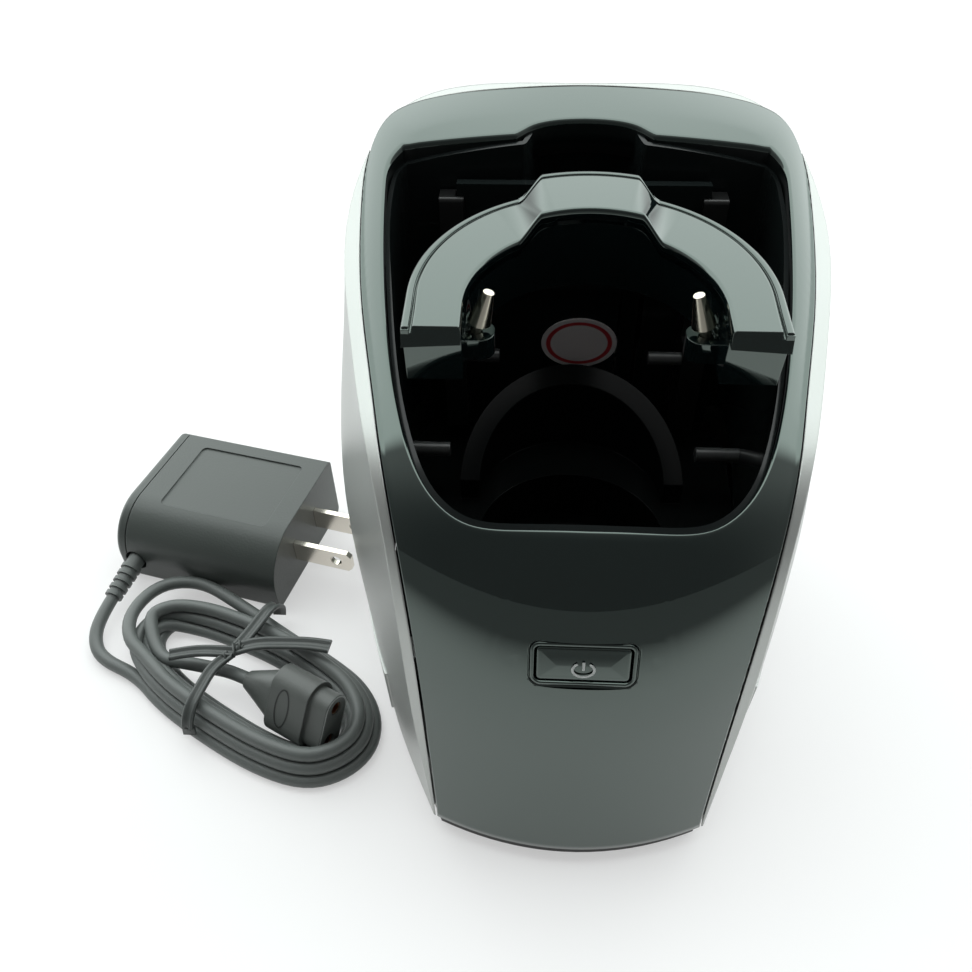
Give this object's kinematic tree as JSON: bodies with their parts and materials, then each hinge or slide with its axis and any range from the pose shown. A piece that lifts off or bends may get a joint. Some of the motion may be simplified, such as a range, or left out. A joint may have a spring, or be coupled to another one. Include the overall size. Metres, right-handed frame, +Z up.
{
  "type": "shaver charging stand",
  "caption": "Cleaning and charging stand for an electric shaver: open well, riding U-shaped holder, drive, fluid chamber, power button, wall adapter and coiled cord.",
  "frame": {"origin": "on the floor under the middle of the stand, without the adapter and its cord", "axes": "+X to the right seen from the front, +Y to the back, +Z up; the stand faces -Y"},
  "size_m": [0.177, 0.1231, 0.1155],
  "materials": {
    "gloss_black": "piano black, polished",
    "silver": "satin silver lacquer on plastic",
    "liner_black": "black, half gloss",
    "satin_black": "moulded black",
    "peg_grey": "light grey moulded pegs",
    "badge": "pale oval with a plain red ring",
    "steel": "bright",
    "bezel_black": "gloss black rim",
    "button_black": "gloss black with a light power symbol",
    "board": "green laminate",
    "gear_white": "natural acetal",
    "gold": "gold plated",
    "rubber": "soft black rubber",
    "basin_grey": "smoky black, half gloss",
    "adapter_black": "fine satin black",
    "nickel": "nickel plated",
    "cord_black": "smooth black cable jacket",
    "tie_black": "satin black strip",
    "connector_black": "moulded black",
    "copper": "coppery contact metal"
  },
  "bodies": {
    "base": {"chamber_base": "satin_black", "chamber_basin": "basin_grey", "chamber_seal": "rubber", "rubber_feet": "rubber", "adapter_body": "adapter_black", "adapter_end_cap": "adapter_black", "adapter_blades": "nickel", "adapter_transformer": "steel", "adapter_board": "board", "strain_relief": "cord_black", "cord_lead": "cord_black", "cord_coil": "cord_black", "cord_tail": "cord_black", "cord_tie": "tie_black", "connector_body": "connector_black", "connector_contacts": "copper"},
    "housing": {"front_fascia": "gloss_black", "side_shell": "silver", "well_liner": "liner_black", "guide_posts": "satin_black", "stop_pegs": "peg_grey", "side_studs": "peg_grey", "oval_badge": "badge", "button_bezel": "bezel_black", "button_switch": "satin_black", "button_spring": "steel", "control_board": "board", "board_posts": "satin_black", "gear_motor": "steel", "motor_rest": "satin_black", "drive_frame": "satin_black", "drive_axle": "steel", "limit_switches": "satin_black", "dc_inlet": "satin_black", "inlet_pins": "steel", "housing_floor": "satin_black", "housing_screws": "steel", "tab_spring_left": "steel", "tab_spring_right": "steel"},
    "holder": {"holder_frame": "gloss_black", "holder_cover": "gloss_black", "holder_carriage": "satin_black", "drive_rack": "satin_black", "contact_blocks": "satin_black", "contact_spring_left": "steel", "contact_spring_right": "steel"},
    "contact_left": {"contact_pin_left": "gold"},
    "contact_right": {"contact_pin_right": "gold"},
    "button": {"power_button": "button_black"},
    "tab_left": {"release_tab_left": "silver"},
    "tab_right": {"release_tab_right": "silver"},
    "gear": {"drive_gear": "gear_white"},
    "motor_shaft": {"motor_gear": "gear_white"}
  },
  "joints": [
    {"name": "housing_lift", "type": "slide", "parent": "base", "child": "housing", "axis": [0, 0, 1], "range_m": [0, 0.06]},
    {"name": "holder_slide", "type": "slide", "parent": "housing", "child": "holder", "axis": [0, 0, -1], "range_m": [0, 0.034]},
    {"name": "gear_turn", "type": "hinge", "parent": "housing", "child": "gear", "pos_m": [0.0135, 0.05301, 0.05], "axis": [1, 0, 0], "range_deg": [0, 407]},
    {"name": "motor_turn", "type": "hinge", "parent": "housing", "child": "motor_shaft", "pos_m": [0.0095, 0.05301, 0.04145], "axis": [1, 0, 0], "range_deg": [-976, 0]},
    {"name": "contact_left_press", "type": "slide", "parent": "holder", "child": "contact_left", "axis": [-0.2924, 0, -0.9563], "range_m": [0, 0.0012], "stiffness_N_per_m": 400, "springref_m": -0.0005, "deforming": ["contact_spring_left"]},
    {"name": "contact_right_press", "type": "slide", "parent": "holder", "child": "contact_right", "axis": [0.2924, 0, -0.9563], "range_m": [0, 0.0012], "stiffness_N_per_m": 400, "springref_m": -0.0005, "deforming": ["contact_spring_right"]},
    {"name": "button_press", "type": "slide", "parent": "housing", "child": "button", "axis": [0, 0.9888, -0.1495], "range_m": [0, 0.0008], "stiffness_N_per_m": 1500, "springref_m": -0.0004, "deforming": ["button_spring"]},
    {"name": "tab_left_press", "type": "slide", "parent": "housing", "child": "tab_left", "axis": [1, 0, 0], "range_m": [0, 0.0015], "stiffness_N_per_m": 1500, "springref_m": -0.0005, "deforming": ["tab_spring_left"]},
    {"name": "tab_right_press", "type": "slide", "parent": "housing", "child": "tab_right", "axis": [-1, 0, 0], "range_m": [0, 0.0015], "stiffness_N_per_m": 1500, "springref_m": -0.0005, "deforming": ["tab_spring_right"]}
  ],
  "couplings": [
    {"joint": "gear_turn", "follows": "holder_slide", "rad_per_m": 208.33},
    {"joint": "motor_turn", "follows": "holder_slide", "rad_per_m": -500}
  ]
}
